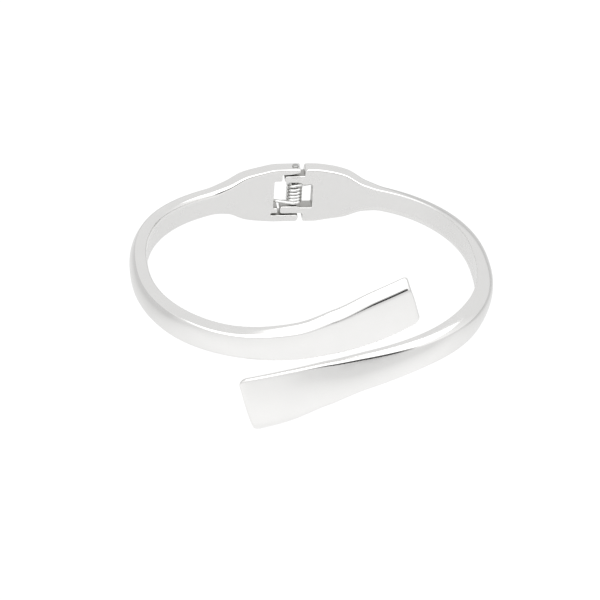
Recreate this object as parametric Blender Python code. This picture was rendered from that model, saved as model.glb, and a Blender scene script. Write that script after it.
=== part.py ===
"""Hinged bypass bangle: two cast arms, the riveted pin they turn on, and the torsion spring that shuts them.

Metres. +Z runs along the wrist, +Y points to the hinge, and the free ends cross at -Y. The origin is the
middle of the whole object. The right arm is the left arm turned half a turn about Y, apart from its hinge.
"""

import math

import bmesh
import bpy
import numpy as np
from mathutils import Vector

MM = 0.001

# The wrist oval: a squared ellipse, which the arms' upright inner faces follow.
HALF_WIDTH = 29.0 * MM
DEPTH_TO_HINGE = 25.7 * MM
DEPTH_TO_FRONT = 26.8 * MM
SQUARENESS_BACK = 2.4
SQUARENESS_FRONT = 2.25
OVAL_Y = 0.6 * MM

# The free ends.
END_ANGLE = 201.6
FLARE_START = 140.0
FLARE_REACH = 60.0
FLARE_OUT = 1.0 * MM
END_RAKE = 5.4
RAKE_START = 150.0
END_CORNER = 1.0 * MM
END_ROUND = 0.28 * MM

# Stations along the left arm, as degrees round from the hinge, and its cross-section at each in mm.
# The section has five corners: inner top, outer top (the fold), shoulder, outer bottom and inner bottom.
#          angle  top   bottom  inner  fold out, drop, round  shoulder out, drop  lower out, rise, round
STATIONS = (
    (0, 5.5, -5.5, 0.35, 2.7, 0.0, 0.5, 2.7, 3.6, 2.7, 0.0, 0.5),
    (4, 5.5, -5.5, 0.35, 2.7, 0.0, 0.5, 2.7, 3.6, 2.7, 0.0, 0.5),
    (9, 5.0, -5.2, 0.4, 2.7, 0.0, 0.5, 2.7, 3.4, 2.7, 0.0, 0.5),
    (14, 4.4, -4.6, 0.5, 2.7, 0.0, 0.5, 2.7, 3.0, 2.7, 0.0, 0.6),
    (21, 2.9, -2.9, 0.8, 2.5, 0.1, 0.4, 2.8, 1.6, 2.8, 0.2, 1.0),
    (28, 2.4, -2.4, 1.1, 2.2, 0.2, 0.4, 3.0, 1.3, 2.8, 0.5, 1.6),
    (60, 2.8, -2.4, 1.2, 2.1, 0.4, 0.4, 3.2, 1.5, 2.9, 0.9, 2.4),
    (90, 3.0, -2.6, 1.2, 2.1, 0.4, 0.4, 3.2, 1.6, 2.9, 1.0, 2.4),
    (120, 3.7, -2.6, 1.2, 2.3, 0.6, 0.4, 3.1, 1.9, 2.6, 0.9, 2.0),
    (145, 4.4, -1.9, 1.2, 2.5, 0.9, 0.4, 2.8, 2.0, 2.0, 0.5, 1.2),
    (170, 7.1, -0.6, 1.2, 2.5, 1.3, 0.7, 2.4, 2.2, 1.3, 0.3, 0.6),
    (190, 13.4, 2.3, 1.3, 2.3, 1.7, 1.2, 1.9, 3.2, 0.8, 0.2, 0.4),
    (214, 18.2, 6.8, 1.3, 2.2, 1.7, 1.3, 1.8, 3.2, 0.7, 0.2, 0.4),
)
SHOULDER_ROUND = 3.0 * MM
INNER_BOTTOM_ROUND = 0.4 * MM
MOST_OF_SIDE = 0.94
ARM_STEP = 1.4 * MM
CORNER_STEPS = 3

# The hinge, about an upright axis in the middle of the plates' thickness.
PLATE_THICKNESS = 2.7 * MM
PIN_Y = OVAL_Y + DEPTH_TO_HINGE + PLATE_THICKNESS / 2
PIN_RADIUS = 0.55 * MM
PIN_HALF_LENGTH = 5.8 * MM
PIN_CHAMFER = 0.08 * MM
PIN_SIDES = 32
PIN_GAP = 0.06 * MM
EAR_END = 0.9 * MM
TONGUE_END = 2.65 * MM
CUT_MARGIN = 1.0 * MM

# Outlines cut through the hinge plates from front to back, as x and z from the pin's middle in mm.
LEFT_CUT = (
    (4.0, 7.0),
    (0.6, 7.0),
    (0.6, 5.5),
    (0.8, 5.4),
    (0.9, 5.2),
    (0.9, 4.95),
    (0.5, 4.65),
    (-0.9, 4.4),
    (-2.45, 4.4),
    (-2.45, 3.05),
    (-3.85, 3.05),
    (-3.85, -2.6),
    (-3.05, -2.6),
    (-3.05, -3.6),
    (-4.3, -3.6),
    (-4.3, -4.1),
    (0.4, -4.1),
    (0.75, -4.3),
    (0.75, -4.7),
    (0.55, -5.15),
    (0.2, -5.4),
    (-0.2, -5.5),
    (-0.2, -7.0),
    (4.0, -7.0),
)
RIGHT_CUT = (
    (-5.0, 7.0),
    (2.6, 7.0),
    (2.6, 5.5),
    (2.1, 5.35),
    (1.8, 5.05),
    (1.7, 4.6),
    (1.7, 4.1),
    (-1.6, 4.1),
    (-1.95, 3.75),
    (-1.95, 3.1),
    (-1.5, 2.75),
    (0.9, 2.75),
    (1.3, 2.35),
    (3.25, 2.35),
    (3.25, -2.55),
    (0.8, -2.55),
    (0.4, -2.3),
    (-2.2, -2.3),
    (-2.6, -2.7),
    (-2.6, -3.4),
    (-2.25, -3.75),
    (1.35, -3.75),
    (1.6, -4.0),
    (1.6, -5.0),
    (1.75, -5.35),
    (2.1, -5.5),
    (2.1, -7.0),
    (-5.0, -7.0),
)

# The torsion spring: it starts at the upper, right-hand leg and winds down clockwise.
WIRE_RADIUS = 0.3 * MM
COIL_RADIUS = 1.2 * MM
COIL_TOP = 2.05 * MM
COIL_DROP = 3.7 * MM
COIL_TURNS = 5
COIL_EASE = 0.85
LEG_ANGLE = math.radians(18)
LEG_LENGTH = 4.9 * MM
WIRE_SIDES = 8
STEPS_PER_TURN = 16
SEAT_GAP = 0.3 * MM
SEAT_INSIDE = 3.0 * MM
SEAT_OUTSIDE = 5.6 * MM
SEAT_HALF_HEIGHT = 0.55 * MM


def clear_scene():
    for thing in list(bpy.data.objects):
        bpy.data.objects.remove(thing)


def metal(name, shade, roughness):
    """A plain metal of one grey shade."""
    made = bpy.data.materials.new(name)
    made.use_nodes = True
    shader = made.node_tree.nodes["Principled BSDF"]
    shader.inputs["Base Color"].default_value = (shade, shade, shade, 1)
    shader.inputs["Metallic"].default_value = 1.0
    shader.inputs["Roughness"].default_value = roughness
    return made


def add_mesh(name, bm, material=None):
    """Turns a finished bmesh into an object of that name."""
    bmesh.ops.recalc_face_normals(bm, faces=bm.faces)
    mesh = bpy.data.meshes.new(name)
    bm.to_mesh(mesh)
    bm.free()
    made = bpy.data.objects.new(name, mesh)
    bpy.context.scene.collection.objects.link(made)
    if material:
        mesh.materials.append(material)
        mesh.shade_smooth()
        mesh.set_sharp_from_angle(angle=math.radians(35))
    return made


def station_curve(column):
    """A smooth curve through one column of STATIONS that never overshoots its stations."""
    at = np.array([row[0] for row in STATIONS], float)
    value = np.array([row[column] for row in STATIONS], float) * MM
    gap = np.diff(at)
    slope = np.diff(value) / gap
    turn = np.concatenate([[slope[0]], np.zeros(len(at) - 2), [slope[-1]]])
    for i in range(1, len(at) - 1):
        before, after = slope[i - 1], slope[i]
        if before * after > 0:
            w1 = 2 * gap[i] + gap[i - 1]
            w2 = gap[i] + 2 * gap[i - 1]
            turn[i] = (w1 + w2) / (w1 / before + w2 / after)

    def curve(angle):
        angle = abs(angle)
        i = int(np.clip(np.searchsorted(at, angle) - 1, 0, len(gap) - 1))
        t = (angle - at[i]) / gap[i]
        start = (1 + 2 * t) * (1 - t) ** 2 * value[i] + t * (1 - t) ** 2 * gap[i] * turn[i]
        end = t * t * (3 - 2 * t) * value[i + 1] - t * t * (1 - t) * gap[i] * turn[i + 1]
        return float(start + end)

    return curve


TOP, BOTTOM, INNER_ROUND, FOLD_OUT, FOLD_DROP, FOLD_ROUND = map(station_curve, range(1, 7))
SHOULDER_OUT, SHOULDER_DROP, LOWER_OUT, LOWER_RISE, LOWER_ROUND = map(station_curve, range(7, 12))


def oval_point(angle, outward, z):
    """A point beside the wrist oval, on the left arm's side, the given distance outward from it."""
    turn = math.radians(angle)
    s, c = math.sin(turn), math.cos(turn)
    depth = DEPTH_TO_HINGE if c > 0 else DEPTH_TO_FRONT
    power = 2 / (SQUARENESS_BACK if c > 0 else SQUARENESS_FRONT)
    x = -HALF_WIDTH * math.copysign(abs(s) ** power, s)
    y = depth * math.copysign(abs(c) ** power, c)
    normal = Vector((x / HALF_WIDTH**2, y / depth**2, 0)).normalized()
    flare = FLARE_OUT * max(0.0, (angle - FLARE_START) / FLARE_REACH) ** 2
    return Vector((x, y + OVAL_Y, z)) + normal * (outward + flare)


def even_angles(first, last, step):
    """Angles from first to last whose points on the oval are about a step apart."""
    fine = np.linspace(first, last, 2000)
    points = np.array([oval_point(a, 0, 0) for a in fine])
    along = np.concatenate([[0], np.cumsum(np.linalg.norm(np.diff(points, axis=0), axis=1))])
    count = int(round(along[-1] / step)) + 1
    return np.interp(np.linspace(0, along[-1], count), along, fine)


def angle_at_x(x):
    """The angle just past the hinge where the left arm's oval reaches this x on the right-hand side."""
    return -math.degrees(math.asin((x / HALF_WIDTH) ** (SQUARENESS_BACK / 2)))


def rounded(corners, cuts):
    """The closed outline through the corners, each one cut back and rounded as far as its sides allow."""
    count = len(corners)
    fits = []
    for i, corner in enumerate(corners):
        j = (i + 1) % count
        fits.append(min(1, MOST_OF_SIDE * (corners[j] - corner).length / (cuts[i] + cuts[j])))
    outline = []
    for i, corner in enumerate(corners):
        ends = []
        for other, fit in ((corners[i - 1], fits[i - 1]), (corners[(i + 1) % count], fits[i])):
            ends.append(corner + (other - corner).normalized() * cuts[i] * fit)
        for step in range(CORNER_STEPS + 1):
            t = step / CORNER_STEPS
            outline.append(ends[0] * (1 - t) ** 2 + corner * 2 * t * (1 - t) + ends[1] * t**2)
    return outline


def arm_section(angle, from_end):
    """The left arm's outline at an angle. Near the free end, from_end draws it in to round the end."""
    tall = quarter_round(from_end, END_CORNER)
    thin = quarter_round(from_end, END_ROUND)
    rake = END_RAKE * max(0.0, (angle - RAKE_START) / (END_ANGLE - RAKE_START))
    low = angle + rake
    top = TOP(angle) - tall
    bottom = BOTTOM(low) + tall
    fold = top - FOLD_DROP(angle)
    shoulder = (angle + low) / 2
    corners = [
        oval_point(angle, thin, top),
        oval_point(angle, FOLD_OUT(angle) - thin, fold),
        oval_point(shoulder, SHOULDER_OUT(angle) - thin, fold - SHOULDER_DROP(angle)),
        oval_point(low, LOWER_OUT(low) - thin, bottom + LOWER_RISE(low)),
        oval_point(low, thin, bottom),
    ]
    cuts = [INNER_ROUND(angle), FOLD_ROUND(angle), SHOULDER_ROUND, LOWER_ROUND(low), INNER_BOTTOM_ROUND]
    return rounded(corners, cuts)


def quarter_round(from_end, radius):
    """How far a round edge of this radius has drawn in, at a distance from the end."""
    short = max(0.0, radius - from_end)
    return radius - math.sqrt(radius**2 - short**2)


def loft(sections):
    """One closed solid through a row of outlines with equal numbers of points."""
    bm = bmesh.new()
    rings = [[bm.verts.new(p) for p in section] for section in sections]
    count = len(rings[0])
    for ring, following in zip(rings, rings[1:]):
        for i in range(count):
            j = (i + 1) % count
            bm.faces.new((ring[i], ring[j], following[j], following[i]))
    bm.faces.new(rings[0])
    bm.faces.new(rings[-1])
    return bm


def arm_sections(hinge_end):
    """The left arm's outlines from its hinge end, at this x, to its free end."""
    last_step = 0.25 * MM
    degrees_per_metre = 1 / (math.radians(1) * DEPTH_TO_FRONT)
    body_end = END_ANGLE - END_CORNER * degrees_per_metre
    angles = list(even_angles(angle_at_x(hinge_end), body_end, ARM_STEP))
    sections = [arm_section(a, END_CORNER) for a in angles]
    for step in range(1, int(END_CORNER / last_step)):
        from_end = END_CORNER - step * last_step
        sections.append(arm_section(END_ANGLE - from_end * degrees_per_metre, from_end))
    sections.append(arm_section(END_ANGLE, 0.02 * MM))
    return sections


def turned_over(sections):
    """The same outlines half a turn round the line from the front to the hinge."""
    return [[Vector((-p.x, p.y, -p.z)) for p in section] for section in sections]


def cutter(name, bm):
    made = add_mesh(name, bm)
    made.hide_render = True
    made.display_type = "WIRE"
    return made


def plate_cutter(name, outline):
    """An outline in x and z, run through the hinge plates from front to back."""
    bm = bmesh.new()
    near = PIN_Y - PLATE_THICKNESS / 2 - CUT_MARGIN
    far = PIN_Y + PLATE_THICKNESS / 2 + CUT_MARGIN
    rings = [[bm.verts.new((x * MM, y, z * MM)) for x, z in outline] for y in (near, far)]
    for i in range(len(outline)):
        j = (i + 1) % len(outline)
        bm.faces.new((rings[0][i], rings[0][j], rings[1][j], rings[1][i]))
    bm.faces.new(rings[0])
    bm.faces.new(rings[1])
    return cutter(name, bm)


def pin_solid(radius, half_length, chamfer):
    """An upright round bar on the hinge axis with a chamfer at each end."""
    profile = [
        (radius - chamfer, half_length),
        (radius, half_length - chamfer),
        (radius, chamfer - half_length),
        (radius - chamfer, -half_length),
    ]
    sections = []
    for r, z in profile:
        turns = [2 * math.pi * k / PIN_SIDES for k in range(PIN_SIDES)]
        sections.append([Vector((r * math.cos(a), PIN_Y + r * math.sin(a), z)) for a in turns])
    return loft(sections)


def seat_cutter(name, side, leg_z):
    """A pocket in a plate's outer face, under one leg of the spring. Side is -1 for left and 1 for right."""
    bm = bmesh.new()
    bmesh.ops.create_cube(bm, size=1)
    floor = leg_line(side, SEAT_INSIDE).y - WIRE_RADIUS - SEAT_GAP
    top = PIN_Y + PLATE_THICKNESS / 2 + CUT_MARGIN
    length = SEAT_OUTSIDE - SEAT_INSIDE
    middle = Vector((side * (SEAT_INSIDE + length / 2), (floor + top) / 2, leg_z))
    bmesh.ops.scale(bm, vec=(length, top - floor, 2 * SEAT_HALF_HEIGHT), verts=bm.verts)
    bmesh.ops.translate(bm, vec=middle, verts=bm.verts)
    return cutter(name, bm)


def coil_turn(share):
    """The turn round the axis at a share of the way down the coil, from the right leg to the left."""
    return LEG_ANGLE - math.pi / 2 - share * (2 * LEG_ANGLE + 2 * math.pi * COIL_TURNS)


def leg_line(side, x):
    """The point on that side's leg at this distance from the axis along x, at the origin's height."""
    start = Vector((side * COIL_RADIUS * math.sin(LEG_ANGLE), PIN_Y - COIL_RADIUS * math.cos(LEG_ANGLE), 0))
    away = Vector((side * math.cos(LEG_ANGLE), math.sin(LEG_ANGLE), 0))
    return start + away * ((x - abs(start.x)) / abs(away.x))


def spring_centreline():
    """Points along the middle of the wire: right leg, coil, left leg."""
    count = int(STEPS_PER_TURN * (COIL_TURNS + LEG_ANGLE / math.pi))
    lift = Vector((0, 0, COIL_TOP))
    points = [leg_line(1, LEG_LENGTH) + lift]
    for step in range(count + 1):
        share = step / count
        turn = coil_turn(share)
        z = COIL_TOP - COIL_DROP * share**COIL_EASE
        points.append(Vector((COIL_RADIUS * math.cos(turn), PIN_Y + COIL_RADIUS * math.sin(turn), z)))
    points.append(leg_line(-1, LEG_LENGTH) + lift - Vector((0, 0, COIL_DROP)))
    return points


def wire_sections(points):
    """Rings round a centreline, each square to it, with one side always facing up."""
    sections = []
    for i, point in enumerate(points):
        along = (points[min(i + 1, len(points) - 1)] - points[max(i - 1, 0)]).normalized()
        side = along.cross(Vector((0, 0, 1))).normalized()
        up = side.cross(along)
        turns = [2 * math.pi * k / WIRE_SIDES for k in range(WIRE_SIDES)]
        sections.append([point + (side * math.cos(a) + up * math.sin(a)) * WIRE_RADIUS for a in turns])
    return sections


def set_origin(made, origin):
    """Moves an object's origin without moving its shape."""
    for vertex in made.data.vertices:
        vertex.co -= origin
    made.location = origin


def cut_by(made, cutters):
    for tool in cutters:
        cut = made.modifiers.new(tool.name, "BOOLEAN")
        cut.operation = "DIFFERENCE"
        cut.solver = "EXACT"
        cut.object = tool


def main():
    clear_scene()
    polished = metal("polished_plating", 0.86, 0.12)
    steel = metal("spring_steel", 0.72, 0.22)
    rivet = metal("rivet_metal", 0.78, 0.2)

    left = add_mesh("left_arm", loft(arm_sections(EAR_END + CUT_MARGIN / 2)), polished)
    right = add_mesh("right_arm", loft(turned_over(arm_sections(TONGUE_END))), polished)
    pin = add_mesh("hinge_pin", pin_solid(PIN_RADIUS, PIN_HALF_LENGTH, PIN_CHAMFER), rivet)
    spring = add_mesh("torsion_spring", loft(wire_sections(spring_centreline())), steel)

    bore = cutter("pin_bore", pin_solid(PIN_RADIUS + PIN_GAP, PIN_HALF_LENGTH + CUT_MARGIN, PIN_CHAMFER))
    left_seat = seat_cutter("left_seat", -1, COIL_TOP - COIL_DROP)
    right_seat = seat_cutter("right_seat", 1, COIL_TOP)
    cut_by(left, [plate_cutter("left_cut", LEFT_CUT), bore, left_seat])
    cut_by(right, [plate_cutter("right_cut", RIGHT_CUT), bore, right_seat])

    axis = Vector((0, PIN_Y, 0))
    for made in (right, pin, spring):
        set_origin(made, axis)


main()
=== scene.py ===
"""Looks of the hinged bypass bangle: polished castings, riveted pin and torsion spring, in a white studio.

Metres, in the CAD model's frame: +Z runs along the wrist, +Y points to the hinge, and the free ends cross at
-Y. Each casting is lofted on the same outlines as its CAD solid, in finer steps. The edges of its hinge cuts
and the outer edges of its free end are rounder than the CAD solid's.
"""

import math

import bmesh
import bpy
import numpy as np
from mathutils import Matrix, Vector


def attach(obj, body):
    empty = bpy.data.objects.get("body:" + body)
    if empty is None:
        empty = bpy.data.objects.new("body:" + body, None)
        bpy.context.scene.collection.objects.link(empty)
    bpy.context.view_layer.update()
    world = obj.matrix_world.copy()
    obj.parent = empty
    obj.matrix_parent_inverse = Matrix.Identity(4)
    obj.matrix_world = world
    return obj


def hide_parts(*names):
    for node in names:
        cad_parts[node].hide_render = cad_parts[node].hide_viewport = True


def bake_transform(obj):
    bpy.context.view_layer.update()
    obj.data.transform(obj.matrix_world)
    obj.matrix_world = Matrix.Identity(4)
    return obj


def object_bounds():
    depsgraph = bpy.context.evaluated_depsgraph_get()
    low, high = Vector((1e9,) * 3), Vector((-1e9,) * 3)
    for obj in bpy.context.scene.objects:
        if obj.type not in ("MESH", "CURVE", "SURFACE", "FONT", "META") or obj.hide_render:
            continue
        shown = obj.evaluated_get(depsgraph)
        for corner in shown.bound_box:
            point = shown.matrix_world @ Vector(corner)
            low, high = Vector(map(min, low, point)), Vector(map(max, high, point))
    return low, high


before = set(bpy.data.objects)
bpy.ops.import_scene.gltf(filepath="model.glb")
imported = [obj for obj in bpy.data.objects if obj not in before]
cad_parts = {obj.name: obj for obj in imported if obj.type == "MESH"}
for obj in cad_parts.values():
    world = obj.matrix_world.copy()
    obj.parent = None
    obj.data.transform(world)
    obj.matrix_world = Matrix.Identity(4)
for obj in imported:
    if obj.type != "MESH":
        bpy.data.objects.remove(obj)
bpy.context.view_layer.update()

MM = 0.001

# The wrist oval: a squared ellipse, which the arms' upright inner faces follow.
HALF_WIDTH = 29.0 * MM
DEPTH_TO_HINGE = 25.7 * MM
DEPTH_TO_FRONT = 26.8 * MM
SQUARENESS_BACK = 2.4
SQUARENESS_FRONT = 2.25
OVAL_Y = 0.6 * MM
OVAL_SAMPLES = 4000

# The free ends. END_FRONT_ROUND rounds the outer face's end, and END_ROUND the inner face's and lower edge's.
END_ANGLE = 201.6
FLARE_START = 140.0
FLARE_REACH = 60.0
FLARE_OUT = 1.0 * MM
END_RAKE = 5.4
RAKE_START = 150.0
END_CORNER = 1.0 * MM
END_ROUND = 0.28 * MM
END_FRONT_ROUND = 0.9 * MM
END_STEPS = 14

# Stations along the left arm, as degrees round from the hinge, and its cross-section at each in mm.
# The section has five corners: inner top, outer top (the fold), shoulder, outer bottom and inner bottom.
#          angle  top   bottom  inner  fold out, drop, round  shoulder out, drop  lower out, rise, round
STATIONS = (
    (0, 5.5, -5.5, 0.35, 2.7, 0.0, 0.5, 2.7, 3.6, 2.7, 0.0, 0.5),
    (4, 5.5, -5.5, 0.35, 2.7, 0.0, 0.5, 2.7, 3.6, 2.7, 0.0, 0.5),
    (9, 5.0, -5.2, 0.4, 2.7, 0.0, 0.5, 2.7, 3.4, 2.7, 0.0, 0.5),
    (14, 4.4, -4.6, 0.5, 2.7, 0.0, 0.5, 2.7, 3.0, 2.7, 0.0, 0.6),
    (21, 2.9, -2.9, 0.8, 2.5, 0.1, 0.4, 2.8, 1.6, 2.8, 0.2, 1.0),
    (28, 2.4, -2.4, 1.1, 2.2, 0.2, 0.4, 3.0, 1.3, 2.8, 0.5, 1.6),
    (60, 2.8, -2.4, 1.2, 2.1, 0.4, 0.4, 3.2, 1.5, 2.9, 0.9, 2.4),
    (90, 3.0, -2.6, 1.2, 2.1, 0.4, 0.4, 3.2, 1.6, 2.9, 1.0, 2.4),
    (120, 3.7, -2.6, 1.2, 2.3, 0.6, 0.4, 3.1, 1.9, 2.6, 0.9, 2.0),
    (145, 4.4, -1.9, 1.2, 2.5, 0.9, 0.4, 2.8, 2.0, 2.0, 0.5, 1.2),
    (170, 7.1, -0.6, 1.2, 2.5, 1.3, 0.7, 2.4, 2.2, 1.3, 0.3, 0.6),
    (190, 13.4, 2.3, 1.3, 2.3, 1.7, 1.2, 1.9, 3.2, 0.8, 0.2, 0.4),
    (214, 18.2, 6.8, 1.3, 2.2, 1.7, 1.3, 1.8, 3.2, 0.7, 0.2, 0.4),
)
SHOULDER_ROUND = 3.0 * MM
INNER_BOTTOM_ROUND = 0.4 * MM
MOST_OF_SIDE = 0.94
ARM_STEP = 0.45 * MM
CORNER_STEPS = 8
SIDE_STEPS = 5
SHARP_ANGLE = math.radians(40)

# The hinge, about an upright axis in the middle of the plates' thickness. Walls of its cuts lower or higher
# than the reach below are plated; the walls between, inside the hinge, are darkened as painted shade.
PLATE_THICKNESS = 2.7 * MM
PIN_Y = OVAL_Y + DEPTH_TO_HINGE + PLATE_THICKNESS / 2
PIN_RADIUS = 0.55 * MM
PIN_HALF_LENGTH = 5.8 * MM
PIN_DOME = 0.12 * MM
PIN_FLAT = 0.4
DOME_STEPS = 8
PIN_GAP = 0.06 * MM
PIN_SIDES = 64
EAR_END = 0.9 * MM
TONGUE_END = 2.65 * MM
CUT_MARGIN = 1.0 * MM
EDGE_ROUND = 0.14 * MM
EDGE_STEPS = 5
SHARPEST_MITRE = 0.5
SHADED_WALL_REACH = 4.7 * MM

# Outlines cut through the hinge plates from front to back: x, z and corner rounding in mm.
LEFT_CUT = (
    (4.0, 7.0, 0.0),
    (0.5, 7.0, 0.0),
    (0.5, 5.5, 0.0),
    (0.9, 5.5, 0.45),
    (0.9, 4.9, 0.3),
    (0.4, 4.65, 0.4),
    (-0.9, 4.4, 0.5),
    (-2.45, 4.4, 0.2),
    (-2.45, 3.05, 0.3),
    (-3.85, 3.05, 0.25),
    (-3.85, -2.6, 0.25),
    (-3.05, -2.6, 0.3),
    (-3.05, -3.6, 0.25),
    (-4.3, -3.6, 0.24),
    (-4.3, -4.1, 0.24),
    (0.3, -4.1, 0.3),
    (0.75, -4.3, 0.3),
    (0.75, -5.5, 0.9),
    (-0.3, -5.5, 0.0),
    (-0.3, -7.0, 0.0),
    (4.0, -7.0, 0.0),
)
RIGHT_CUT = (
    (-5.0, 7.0, 0.0),
    (2.6, 7.0, 0.0),
    (2.6, 5.5, 0.0),
    (1.7, 5.5, 0.85),
    (1.7, 4.1, 0.12),
    (-1.95, 4.1, 0.5),
    (-1.95, 2.75, 0.6),
    (0.9, 2.75, 0.4),
    (1.4, 2.35, 0.3),
    (3.25, 2.35, 0.3),
    (3.25, -2.55, 0.3),
    (0.9, -2.55, 0.4),
    (0.5, -2.3, 0.4),
    (-2.6, -2.3, 0.5),
    (-2.6, -3.75, 0.55),
    (1.6, -3.75, 0.35),
    (1.6, -5.5, 0.5),
    (2.2, -5.5, 0.0),
    (2.2, -7.0, 0.0),
    (-5.0, -7.0, 0.0),
)
OUTLINE_STEPS = 6

# The torsion spring: it starts at the upper, right-hand leg and winds down clockwise.
WIRE_RADIUS = 0.3 * MM
COIL_RADIUS = 1.2 * MM
COIL_TOP = 2.05 * MM
COIL_DROP = 3.7 * MM
COIL_TURNS = 5
COIL_EASE = 0.85
LEG_ANGLE = math.radians(18)
LEG_LENGTH = 4.9 * MM
WIRE_SIDES = 20
STEPS_PER_TURN = 64
LEG_STEPS = 16
SEAT_GAP = 0.3 * MM
SEAT_INSIDE = 3.0 * MM
SEAT_OUTSIDE = 5.6 * MM
SEAT_HALF_HEIGHT = 0.55 * MM

# The finishes. A streak is how far polishing lines move the roughness, and a dent how deep the surface waves.
PLATING = (0.87, 0.865, 0.855)
POLISHED = {"colour": PLATING, "roughness": 0.13, "streak": 0.015, "dent": 0.01 * MM}
# The inner faces' satin finish is rougher, and its colour is darkened as painted shade inside the ring.
SATIN_AND_SHADE = {"colour": tuple(c * 0.95 for c in PLATING), "roughness": 0.32, "streak": 0.02, "dent": 0.003 * MM}
DRAWN = {"colour": (0.8, 0.8, 0.79), "roughness": 0.18, "streak": 0.05, "dent": 0.005 * MM}
FILED = {"colour": (0.5, 0.5, 0.49), "roughness": 0.3, "streak": 0.05, "dent": 0.01 * MM}
# A darker, rougher metal whose colour is painted shade on the walls inside the hinge's cuts.
SHADED_WALL = {"colour": (0.5, 0.495, 0.48), "roughness": 0.38, "streak": 0.06, "dent": 0.02 * MM}

# Their patterns, with scales per metre. Streaks are squashed along Z, so that they run round the wrist.
CLOUDS = {"scale": 260.0, "detail": 3.0, "roughness": 0.55}
STREAKS = {"scale": 2600.0, "detail": 4.0, "roughness": 0.7}
WAVES = {"scale": 170.0, "detail": 1.0, "roughness": 0.4}
STREAK_SQUASH = 9.0
STREAK_DEPTH = 0.04
STREAK_STRENGTH = 0.25
NOISE_LOW = 0.3
NOISE_HIGH = 0.7
HAZE_LOW = 0.35
LEAST_HAZE = 0.8
MOST_HAZE = 1.25
DULLEST = 0.985
BRIGHTEST = 1.01

# The camera, aimed from the wrist oval's middle.
CAMERA_SWING = math.radians(-8.62)
CAMERA_HEIGHT = math.radians(32.02)
CAMERA_ROLL = math.radians(3.49)
CAMERA_DISTANCE = 0.6
CAMERA_LENS = 203.7
CAMERA_CLIP = 10 * MM
AIM_RIGHT = -2.0 * MM
AIM_UP = -5.18 * MM

# The studio, as the metal mirrors it. The floor is dimmer within SHADE and beyond POOL, and behind.
FLOOR_REACH = 3.0
FLOOR_COLOUR = (0.02, 0.02, 0.02, 1)
FLOOR_ROUGHNESS = 0.9
SHADE_INSIDE = 12 * MM
SHADE_OUTSIDE = 32 * MM
POOL_INSIDE = 45 * MM
POOL_OUTSIDE = 120 * MM
POOL_EDGE = 0.72
INNER_GLOW = 0.84
FRONT_GLOW = 0.98
BACK_GLOW = 0.8

# Its walls, which fade from the front to the back. A direction's Y and Z parts say how far back and up it is.
FRONT_WALL = 1.1
BACK_WALL = 0.83
FRONT_WALL_Y = -0.5
BACK_WALL_Y = 0.3
HORIZON_TOP = 0.12
HORIZON_BASE = 0.03
HORIZON_DIM = 0.25

# The dark gap between the walls. Edge and core are cosines of the angle from its middle.
GAP_AZIMUTH = math.radians(16)
GAP_EDGE = 0.86
GAP_CORE = 0.96
GAP_TOP = 0.5
GAP_FADE = 0.25
GAP_GLOW = 0.02

# The softbox over the front.
SOFTBOX_HEIGHT = math.radians(71)
SOFTBOX_DISTANCE = 1.0
SOFTBOX_WIDTH = 2.2
SOFTBOX_LENGTH = 1.5
SOFTBOX_RADIANCE = 1.08


def station_curve(column):
    """A smooth curve through one column of STATIONS that never overshoots its stations."""
    at = np.array([row[0] for row in STATIONS], float)
    value = np.array([row[column] for row in STATIONS], float) * MM
    gap = np.diff(at)
    slope = np.diff(value) / gap
    turn = np.concatenate([[slope[0]], np.zeros(len(at) - 2), [slope[-1]]])
    for i in range(1, len(at) - 1):
        before, after = slope[i - 1], slope[i]
        if before * after > 0:
            w1 = 2 * gap[i] + gap[i - 1]
            w2 = gap[i] + 2 * gap[i - 1]
            turn[i] = (w1 + w2) / (w1 / before + w2 / after)

    def curve(angle):
        angle = abs(angle)
        i = int(np.clip(np.searchsorted(at, angle) - 1, 0, len(gap) - 1))
        t = (angle - at[i]) / gap[i]
        start = (1 + 2 * t) * (1 - t) ** 2 * value[i] + t * (1 - t) ** 2 * gap[i] * turn[i]
        end = t * t * (3 - 2 * t) * value[i + 1] - t * t * (1 - t) * gap[i] * turn[i + 1]
        return float(start + end)

    return curve


TOP, BOTTOM, INNER_ROUND, FOLD_OUT, FOLD_DROP, FOLD_ROUND = map(station_curve, range(1, 7))
SHOULDER_OUT, SHOULDER_DROP, LOWER_OUT, LOWER_RISE, LOWER_ROUND = map(station_curve, range(7, 12))


def oval_point(angle, outward, z):
    """A point beside the wrist oval, on the left arm's side, the given distance outward from it."""
    turn = math.radians(angle)
    s, c = math.sin(turn), math.cos(turn)
    depth = DEPTH_TO_HINGE if c > 0 else DEPTH_TO_FRONT
    power = 2 / (SQUARENESS_BACK if c > 0 else SQUARENESS_FRONT)
    x = -HALF_WIDTH * math.copysign(abs(s) ** power, s)
    y = depth * math.copysign(abs(c) ** power, c)
    normal = Vector((x / HALF_WIDTH**2, y / depth**2, 0)).normalized()
    flare = FLARE_OUT * max(0.0, (angle - FLARE_START) / FLARE_REACH) ** 2
    return Vector((x, y + OVAL_Y, z)) + normal * (outward + flare)


def even_angles(first, last, step):
    """Angles from first to last whose points on the oval are about a step apart."""
    fine = np.linspace(first, last, OVAL_SAMPLES)
    points = np.array([oval_point(a, 0, 0) for a in fine])
    along = np.concatenate([[0], np.cumsum(np.linalg.norm(np.diff(points, axis=0), axis=1))])
    count = int(round(along[-1] / step)) + 1
    return np.interp(np.linspace(0, along[-1], count), along, fine)


def angle_at_x(x):
    """The angle just past the hinge where the left arm's oval reaches this x on the right-hand side."""
    return -math.degrees(math.asin((x / HALF_WIDTH) ** (SQUARENESS_BACK / 2)))


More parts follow.
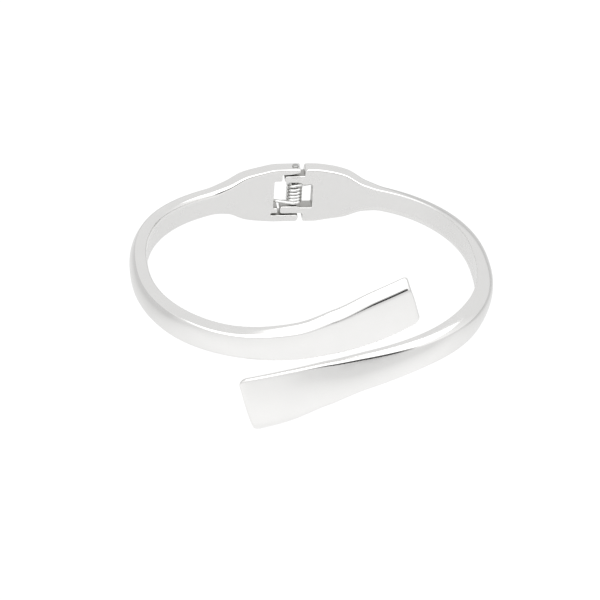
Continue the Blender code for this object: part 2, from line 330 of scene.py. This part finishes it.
def rounded(corners, cuts, corner_steps, side_steps=1):
    """The closed outline through the corners, each rounded as far as its sides allow."""
    count = len(corners)
    fits = []
    for i, corner in enumerate(corners):
        j = (i + 1) % count
        reach = (corners[j] - corner).length
        fits.append(min(1, MOST_OF_SIDE * reach / max(cuts[i] + cuts[j], reach * MOST_OF_SIDE)))
    arcs = []
    for i, corner in enumerate(corners):
        ends = []
        for other, fit in ((corners[i - 1], fits[i - 1]), (corners[(i + 1) % count], fits[i])):
            ends.append(corner + (other - corner).normalized() * cuts[i] * fit)
        steps = corner_steps if cuts[i] else 0
        arcs.append([])
        for step in range(steps + 1):
            t = step / max(steps, 1)
            arcs[-1].append(ends[0] * (1 - t) ** 2 + corner * 2 * t * (1 - t) + ends[1] * t**2)
    outline = []
    for i, arc in enumerate(arcs):
        outline += arc
        following = arcs[(i + 1) % count][0]
        outline += [arc[-1].lerp(following, k / side_steps) for k in range(1, side_steps)]
    return outline


def quarter_round(from_end, radius):
    """How far a round edge of this radius has drawn in, at a distance from the end."""
    short = max(0.0, radius - from_end)
    return radius - math.sqrt(radius**2 - short**2)


def arm_section(angle, from_end):
    """The left arm's outline at an angle. Near the free end, from_end draws it in to round the end."""
    tall = quarter_round(from_end, END_CORNER)
    thin = quarter_round(from_end, END_ROUND)
    front = quarter_round(from_end, END_FRONT_ROUND)
    rake = END_RAKE * max(0.0, (angle - RAKE_START) / (END_ANGLE - RAKE_START))
    low = angle + rake
    top = TOP(angle) - tall
    bottom = BOTTOM(low) + tall
    fold = top - FOLD_DROP(angle)
    shoulder = (angle + low) / 2
    corners = [
        oval_point(angle, thin, top),
        oval_point(angle, FOLD_OUT(angle) - front, fold),
        oval_point(shoulder, SHOULDER_OUT(angle) - front, fold - SHOULDER_DROP(angle)),
        oval_point(low, LOWER_OUT(low) - thin, bottom + LOWER_RISE(low)),
        oval_point(low, thin, bottom),
    ]
    cuts = [INNER_ROUND(angle), FOLD_ROUND(angle), SHOULDER_ROUND, LOWER_ROUND(low), INNER_BOTTOM_ROUND]
    return rounded(corners, cuts, CORNER_STEPS, SIDE_STEPS)


def arm_sections(hinge_end):
    """The left arm's outlines from its hinge end, at this x, to its free end."""
    degrees_per_metre = 1 / (math.radians(1) * DEPTH_TO_FRONT)
    body_end = END_ANGLE - END_CORNER * degrees_per_metre
    sections = [arm_section(a, END_CORNER) for a in even_angles(angle_at_x(hinge_end), body_end, ARM_STEP)]
    for step in range(1, END_STEPS + 1):
        from_end = END_CORNER * (1 - math.sin(step / (END_STEPS + 1) * math.pi / 2))
        sections.append(arm_section(END_ANGLE - from_end * degrees_per_metre, from_end))
    return sections


def turned_over(sections):
    """The same outlines half a turn round the line from the front to the hinge."""
    return [[Vector((-p.x, p.y, -p.z)) for p in section] for section in sections]


def loft(sections):
    """One closed solid through a row of outlines with equal numbers of points."""
    bm = bmesh.new()
    rings = [[bm.verts.new(p) for p in section] for section in sections]
    count = len(rings[0])
    for ring, following in zip(rings, rings[1:]):
        for i in range(count):
            j = (i + 1) % count
            bm.faces.new((ring[i], ring[j], following[j], following[i]))
    bm.faces.new(rings[0])
    bm.faces.new(rings[-1])
    bmesh.ops.recalc_face_normals(bm, faces=bm.faces)
    return bm


def arm_solid(sections):
    """A lofted arm whose inner face, the one against the wrist, has material 1."""
    bm = loft(sections)
    bm.faces.ensure_lookup_table()
    count = len(sections[0])
    sides = count * (len(sections) - 1)
    first_inner = 4 * count // 5 + CORNER_STEPS // 2
    for i, face in enumerate(bm.faces[:sides]):
        if i % count >= first_inner:
            face.material_index = 1
    return bm


def add_mesh(name, bm, materials=()):
    """Turns a finished bmesh into an object of that name."""
    mesh = bpy.data.meshes.new(name)
    bm.to_mesh(mesh)
    bm.free()
    made = bpy.data.objects.new(name, mesh)
    bpy.context.scene.collection.objects.link(made)
    for material in materials:
        mesh.materials.append(material)
    return made


def smooth(made):
    """Shades a piece smoothly between its sharp edges."""
    made.data.shade_smooth()
    made.data.set_sharp_from_angle(angle=SHARP_ANGLE)


def hinge_face_y(x):
    """Where the hinge plates' inner faces are at this x."""
    share = min(abs(x) / HALF_WIDTH, 1)
    return OVAL_Y + DEPTH_TO_HINGE * (1 - share**SQUARENESS_BACK) ** (1 / SQUARENESS_BACK)


def grown(outline, distance):
    """A closed outline in x and z, clockwise seen from the front, moved outward by a distance."""
    moved = []
    for i, point in enumerate(outline):
        before = (point - outline[i - 1]).normalized()
        after = (outline[(i + 1) % len(outline)] - point).normalized()
        along = (before + after).normalized()
        outward = Vector((-along.y, along.x))
        mitre = max(outward.dot(Vector((-after.y, after.x))), SHARPEST_MITRE)
        moved.append(point + outward * distance / mitre)
    return moved


def plate_cutter(name, corners, materials):
    """A cutter through a hinge plate that rounds the edges it makes. Walls inside the hinge get material 2,
    painted shade.
    """
    points = [Vector((x * MM, z * MM)) for x, z, r in corners]
    outline = rounded(points, [r * MM for x, z, r in corners], OUTLINE_STEPS)
    area = sum(a.x * b.y - b.x * a.y for a, b in zip(outline, outline[1:] + outline[:1]))
    if area > 0:
        outline.reverse()
    depths = [EDGE_ROUND * (1 - math.cos(k / EDGE_STEPS * math.pi / 2)) for k in range(EDGE_STEPS + 1)]
    levels = [(0, -CUT_MARGIN, EDGE_ROUND)]
    levels += [(0, depth, quarter_round(depth, EDGE_ROUND)) for depth in depths]
    levels += [(1, -depth, quarter_round(depth, EDGE_ROUND)) for depth in reversed(depths)]
    levels += [(1, CUT_MARGIN, EDGE_ROUND)]
    sections = []
    for side, depth, growth in levels:
        ring = grown(outline, growth)
        face_y = [hinge_face_y(p.x) + side * PLATE_THICKNESS + depth for p in ring]
        sections.append([Vector((p.x, y, p.y)) for p, y in zip(ring, face_y)])
    bm = loft(sections)
    bm.faces.ensure_lookup_table()
    first_wall = (len(levels) // 2 - 1) * len(outline)
    for face in bm.faces[first_wall : first_wall + len(outline)]:
        # Walls inside the hinge take the darker colour, as painted shade.
        if abs(face.calc_center_median().z) < SHADED_WALL_REACH:
            face.material_index = 2
    return add_mesh(name, bm, materials)


def turned(profile, sides):
    """An upright solid of revolution on the hinge axis, through a profile of radii and heights."""
    sections = []
    for radius, z in profile:
        turns = [2 * math.pi * k / sides for k in range(sides)]
        sections.append([Vector((radius * math.cos(a), PIN_Y + radius * math.sin(a), z)) for a in turns])
    return loft(sections)


def pin_profile():
    """The riveted pin: a bar whose two ends are slightly domed."""
    dome = []
    for step in range(DOME_STEPS):
        turn = step / DOME_STEPS * math.pi / 2
        radius = PIN_RADIUS - PIN_DOME + PIN_DOME * math.cos(turn)
        dome.append((radius, PIN_HALF_LENGTH - PIN_DOME + PIN_DOME * math.sin(turn)))
    dome.append((PIN_RADIUS * PIN_FLAT, PIN_HALF_LENGTH))
    return [(r, -z) for r, z in reversed(dome)] + dome


def bore_profile():
    """The pin's bore, longer than the plates are tall."""
    far = PIN_HALF_LENGTH + CUT_MARGIN
    return [(PIN_RADIUS + PIN_GAP, -far), (PIN_RADIUS + PIN_GAP, far)]


def leg_line(side, x):
    """The point on that side's leg at this distance from the axis along x, at the origin's height."""
    start = Vector((side * COIL_RADIUS * math.sin(LEG_ANGLE), PIN_Y - COIL_RADIUS * math.cos(LEG_ANGLE), 0))
    away = Vector((side * math.cos(LEG_ANGLE), math.sin(LEG_ANGLE), 0))
    return start + away * ((x - abs(start.x)) / abs(away.x))


def seat_cutter(name, side, leg_z):
    """A pocket in a plate's outer face, under one leg of the spring. Side is -1 for left and 1 for right."""
    floor = leg_line(side, SEAT_INSIDE).y - WIRE_RADIUS - SEAT_GAP
    inside, outside = side * SEAT_INSIDE, side * SEAT_OUTSIDE
    low, high = leg_z - SEAT_HALF_HEIGHT, leg_z + SEAT_HALF_HEIGHT
    corners = [Vector(p) for p in ((inside, low), (inside, high), (outside, high), (outside, low))]
    cuts = [0, 0, SEAT_HALF_HEIGHT, SEAT_HALF_HEIGHT]
    outline = rounded(corners, cuts, OUTLINE_STEPS)
    top = PIN_Y + PLATE_THICKNESS / 2 + CUT_MARGIN
    return add_mesh(name, loft([[Vector((p.x, y, p.y)) for p in outline] for y in (floor, top)]))


def coil_turn(share):
    """The turn round the axis at a share of the way down the coil, from the right leg to the left."""
    return LEG_ANGLE - math.pi / 2 - share * (2 * LEG_ANGLE + 2 * math.pi * COIL_TURNS)


def spring_centreline():
    """Points along the middle of the wire: right leg, coil, left leg."""
    count = int(STEPS_PER_TURN * (COIL_TURNS + LEG_ANGLE / math.pi))
    lift = Vector((0, 0, COIL_TOP))
    legs = []
    for side in (1, -1):
        root = COIL_RADIUS * math.sin(LEG_ANGLE)
        reach = [root + (LEG_LENGTH - root) * k / LEG_STEPS for k in range(LEG_STEPS, 0, -1)]
        legs.append([leg_line(side, x) + lift for x in reach])
    points = legs[0]
    for step in range(count + 1):
        share = step / count
        turn = coil_turn(share)
        z = COIL_TOP - COIL_DROP * share**COIL_EASE
        points.append(Vector((COIL_RADIUS * math.cos(turn), PIN_Y + COIL_RADIUS * math.sin(turn), z)))
    points += [p - Vector((0, 0, COIL_DROP)) for p in reversed(legs[1])]
    return points


def wire_sections(points):
    """Rings round a centreline, each square to it, with one side always facing up."""
    sections = []
    for i, point in enumerate(points):
        along = (points[min(i + 1, len(points) - 1)] - points[max(i - 1, 0)]).normalized()
        side = along.cross(Vector((0, 0, 1))).normalized()
        up = side.cross(along)
        turns = [2 * math.pi * k / WIRE_SIDES for k in range(WIRE_SIDES)]
        sections.append([point + (side * math.cos(a) + up * math.sin(a)) * WIRE_RADIUS for a in turns])
    return sections


def cut_by(made, cutters):
    """Cuts the mesh with each cutter in turn, and keeps only the result."""
    for tool in cutters:
        cut = made.modifiers.new(tool.name, "BOOLEAN")
        cut.operation = "DIFFERENCE"
        cut.solver = "EXACT"
        cut.object = tool
    bpy.context.view_layer.update()
    finished = bpy.data.meshes.new_from_object(made.evaluated_get(bpy.context.evaluated_depsgraph_get()))
    made.modifiers.clear()
    made.data = finished


class Nodes:
    """Short calls for building a node tree."""

    def __init__(self, tree):
        self.tree = tree

    def add(self, kind, inputs=None, **settings):
        """A new node. Each input is a value or the socket that feeds it."""
        node = self.tree.nodes.new(kind)
        for key, value in settings.items():
            setattr(node, key, value)
        for key, value in (inputs or {}).items():
            if isinstance(value, bpy.types.NodeSocket):
                self.tree.links.new(value, node.inputs[key])
            else:
                node.inputs[key].default_value = value
        return node

    def noise(self, where, scale, detail, roughness):
        """A cloudy pattern of values between 0 and 1."""
        inputs = {"Vector": where, "Scale": scale, "Detail": detail, "Roughness": roughness}
        return self.add("ShaderNodeTexNoise", inputs).outputs["Fac"]

    def spread(self, value, low, high, to_low, to_high):
        """Maps low..high to to_low..to_high and holds the ends."""
        inputs = {"Value": value, "From Min": low, "From Max": high, "To Min": to_low, "To Max": to_high}
        return self.add("ShaderNodeMapRange", inputs).outputs["Result"]

    def math(self, operation, a, b):
        """The result of one operation on two values."""
        return self.add("ShaderNodeMath", {0: a, 1: b}, operation=operation).outputs[0]


def metal(name, colour, roughness, streak, dent):
    """A metal with cloudy handling marks, fine polishing streaks and a faint unevenness."""
    made = bpy.data.materials.new(name)
    made.use_nodes = True
    nodes = Nodes(made.node_tree)
    shader = made.node_tree.nodes["Principled BSDF"]
    shader.inputs["Metallic"].default_value = 1.0
    place = nodes.add("ShaderNodeTexCoord").outputs["Object"]

    squash = {"Vector": place, "Scale": (1.0, 1.0, STREAK_SQUASH)}
    squashed = nodes.add("ShaderNodeMapping", squash).outputs["Vector"]
    clouds = nodes.noise(place, **CLOUDS)
    streaks = nodes.noise(squashed, **STREAKS)
    waves = nodes.noise(place, **WAVES)

    wear = nodes.spread(clouds, NOISE_LOW, NOISE_HIGH, 0.0, 1.0)
    tint = nodes.add("ShaderNodeMix", {"Factor": wear}, data_type="RGBA")
    tint.inputs["A"].default_value = (*(c * DULLEST for c in colour), 1.0)
    tint.inputs["B"].default_value = (*(c * BRIGHTEST for c in colour), 1.0)
    made.node_tree.links.new(tint.outputs["Result"], shader.inputs["Base Color"])

    hazy = nodes.spread(clouds, HAZE_LOW, NOISE_HIGH, roughness * LEAST_HAZE, roughness * MOST_HAZE)
    streaky = nodes.spread(streaks, NOISE_LOW, NOISE_HIGH, -streak, streak)
    made.node_tree.links.new(nodes.math("ADD", hazy, streaky), shader.inputs["Roughness"])

    lines = {"Height": streaks, "Strength": STREAK_STRENGTH, "Distance": dent * STREAK_DEPTH}
    fine = nodes.add("ShaderNodeBump", lines)
    broad = nodes.add("ShaderNodeBump", {"Height": waves, "Strength": 1.0, "Distance": dent})
    made.node_tree.links.new(fine.outputs["Normal"], broad.inputs["Normal"])
    made.node_tree.links.new(broad.outputs["Normal"], shader.inputs["Normal"])
    return made


def white_floor(name):
    """White paper that glows as the metal mirrors it: a painted pool of light in front of the bangle, painted
    shade near it and behind. Seen directly, it is plain white.
    """
    made = bpy.data.materials.new(name)
    made.use_nodes = True
    nodes = Nodes(made.node_tree)
    shader = made.node_tree.nodes["Principled BSDF"]
    shader.inputs["Base Color"].default_value = FLOOR_COLOUR
    shader.inputs["Roughness"].default_value = FLOOR_ROUGHNESS
    shader.inputs["Emission Color"].default_value = (1, 1, 1, 1)
    place = nodes.add("ShaderNodeTexCoord").outputs["Object"]
    away = nodes.add("ShaderNodeVectorMath", {0: place}, operation="LENGTH").outputs["Value"]
    depth = nodes.add("ShaderNodeSeparateXYZ", {"Vector": place}).outputs["Y"]
    # Painted shade: the glow is dimmer near the bangle and behind it, and dimmer again beyond the pool.
    outside = nodes.spread(depth, -SHADE_OUTSIDE, 0.0, FRONT_GLOW, BACK_GLOW)
    near = nodes.spread(away, SHADE_INSIDE, SHADE_OUTSIDE, INNER_GLOW, outside)
    glow = nodes.math("MULTIPLY", near, nodes.spread(away, POOL_INSIDE, POOL_OUTSIDE, 1.0, POOL_EDGE))
    seen = nodes.add("ShaderNodeLightPath").outputs["Is Camera Ray"]
    made.node_tree.links.new(nodes.math("MAXIMUM", glow, seen), shader.inputs["Emission Strength"])
    return made


def build_object():
    """The four pieces, in their finishes, in place of their CAD solids. The castings and the pin ride on
    their bodies.
    """
    polished = metal("polished_plating", **POLISHED)
    satin_and_shade = metal("satin_plating_and_shade", **SATIN_AND_SHADE)
    steel = metal("drawn_wire", **DRAWN)
    rivet = metal("filed_rivet", **FILED)
    shaded_wall = metal("shaded_hinge_wall", **SHADED_WALL)
    casting = [polished, satin_and_shade, shaded_wall]

    left = add_mesh("left_casting", arm_solid(arm_sections(EAR_END + CUT_MARGIN / 2)), casting)
    right = add_mesh("right_casting", arm_solid(turned_over(arm_sections(TONGUE_END))), casting)
    bore = add_mesh("bore", turned(bore_profile(), PIN_SIDES))
    left_tools = [
        plate_cutter("left_cut", LEFT_CUT, casting),
        bore,
        seat_cutter("left_seat", -1, COIL_TOP - COIL_DROP),
    ]
    right_tools = [
        plate_cutter("right_cut", RIGHT_CUT, casting),
        bore,
        seat_cutter("right_seat", 1, COIL_TOP),
    ]
    cut_by(left, left_tools)
    cut_by(right, right_tools)
    for tool in dict.fromkeys(left_tools + right_tools):
        bpy.data.objects.remove(tool)
    pin = add_mesh("riveted_pin", turned(pin_profile(), PIN_SIDES), [rivet])
    spring = add_mesh("wound_spring", loft(wire_sections(spring_centreline())), [steel])
    for made in (left, right, pin, spring):
        smooth(made)

    for made, body, node, slot in (
        (left, "left", "left_arm", "plating"),
        (right, "right", "right_arm", "plating"),
        (pin, "left", "hinge_pin", "rivet"),
    ):
        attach(made, body)
        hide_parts(node)
    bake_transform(spring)
    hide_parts("torsion_spring")


def build_floor():
    """A plain floor that the bangle stands on."""
    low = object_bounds()[0].z
    bm = bmesh.new()
    bmesh.ops.create_grid(bm, x_segments=1, y_segments=1, size=FLOOR_REACH)
    bmesh.ops.translate(bm, vec=(0, 0, low), verts=bm.verts)
    floor = add_mesh("studio_floor", bm, [white_floor("white_paper")])


def build_world():
    """A pale studio, dim at the horizon, with a dark gap between its walls to the right of the front."""
    world = bpy.data.worlds.new("studio")
    world.use_nodes = True
    bpy.context.scene.world = world
    nodes = Nodes(world.node_tree)
    direction = nodes.add("ShaderNodeTexCoord").outputs["Generated"]
    parts = nodes.add("ShaderNodeSeparateXYZ", {"Vector": direction})
    flat = nodes.add("ShaderNodeVectorMath", {0: direction, 1: (1, 1, 0)}, operation="MULTIPLY")
    level = nodes.add("ShaderNodeVectorMath", {0: flat.outputs["Vector"]}, operation="NORMALIZE")
    gap_way = (math.sin(GAP_AZIMUTH), -math.cos(GAP_AZIMUTH), 0)
    sides = {0: level.outputs["Vector"], 1: gap_way}
    toward = nodes.add("ShaderNodeVectorMath", sides, operation="DOT_PRODUCT")
    across = nodes.spread(toward.outputs["Value"], GAP_EDGE, GAP_CORE, 0.0, 1.0)
    below = nodes.spread(parts.outputs["Z"], GAP_TOP, GAP_TOP - GAP_FADE, 0.0, 1.0)
    horizon = nodes.spread(parts.outputs["Z"], HORIZON_TOP, HORIZON_BASE, 0.0, HORIZON_DIM)
    dark = nodes.math("MAXIMUM", nodes.math("MULTIPLY", across, below), horizon)
    walls = nodes.spread(parts.outputs["Y"], FRONT_WALL_Y, BACK_WALL_Y, FRONT_WALL, BACK_WALL)
    lit = nodes.math("SUBTRACT", walls, nodes.math("MULTIPLY", dark, FRONT_WALL - GAP_GLOW))
    seen = nodes.add("ShaderNodeLightPath").outputs["Is Camera Ray"]
    background = world.node_tree.nodes["Background"]
    world.node_tree.links.new(nodes.math("MAXIMUM", lit, seen), background.inputs["Strength"])
    background.inputs["Color"].default_value = (1, 1, 1, 1)


def add_softbox():
    """A soft rectangular light over the bangle's front, aimed at it."""
    away = Vector((0, -math.cos(SOFTBOX_HEIGHT), math.sin(SOFTBOX_HEIGHT)))
    light = bpy.data.lights.new("softbox", "AREA")
    light.shape = "RECTANGLE"
    light.size = SOFTBOX_WIDTH
    light.size_y = SOFTBOX_LENGTH
    light.energy = SOFTBOX_RADIANCE * math.pi * SOFTBOX_WIDTH * SOFTBOX_LENGTH
    made = bpy.data.objects.new("softbox", light)
    made.location = away * SOFTBOX_DISTANCE
    made.rotation_mode = "QUATERNION"
    made.rotation_quaternion = away.to_track_quat("Z", "Y")
    bpy.context.scene.collection.objects.link(made)


def add_camera():
    """The camera, looking down on the bangle's front from a little to its left."""
    level = Vector((-math.sin(CAMERA_SWING), math.cos(CAMERA_SWING), 0))
    right = Vector((math.cos(CAMERA_SWING), math.sin(CAMERA_SWING), 0))
    ahead = level * math.cos(CAMERA_HEIGHT) - Vector((0, 0, math.sin(CAMERA_HEIGHT)))
    up = right.cross(ahead)
    rolled_right = right * math.cos(CAMERA_ROLL) + up * math.sin(CAMERA_ROLL)
    rolled_up = up * math.cos(CAMERA_ROLL) - right * math.sin(CAMERA_ROLL)
    aim = Vector((0, OVAL_Y, 0)) + rolled_right * AIM_RIGHT + rolled_up * AIM_UP
    eye = Vector((0, OVAL_Y, 0)) - ahead * CAMERA_DISTANCE
    toward = (aim - eye).normalized()
    side = toward.cross(rolled_up).normalized()
    top = side.cross(toward)
    data = bpy.data.cameras.new("camera")
    data.lens = CAMERA_LENS
    data.clip_start = CAMERA_CLIP
    made = bpy.data.objects.new("camera", data)
    turn = Matrix((side, top, -toward)).transposed()
    made.matrix_world = Matrix.Translation(eye) @ turn.to_4x4()
    bpy.context.scene.collection.objects.link(made)
    bpy.context.scene.camera = made


build_object()
build_floor()
build_world()
add_softbox()
add_camera()
bpy.context.scene.view_settings.view_transform = "Standard"
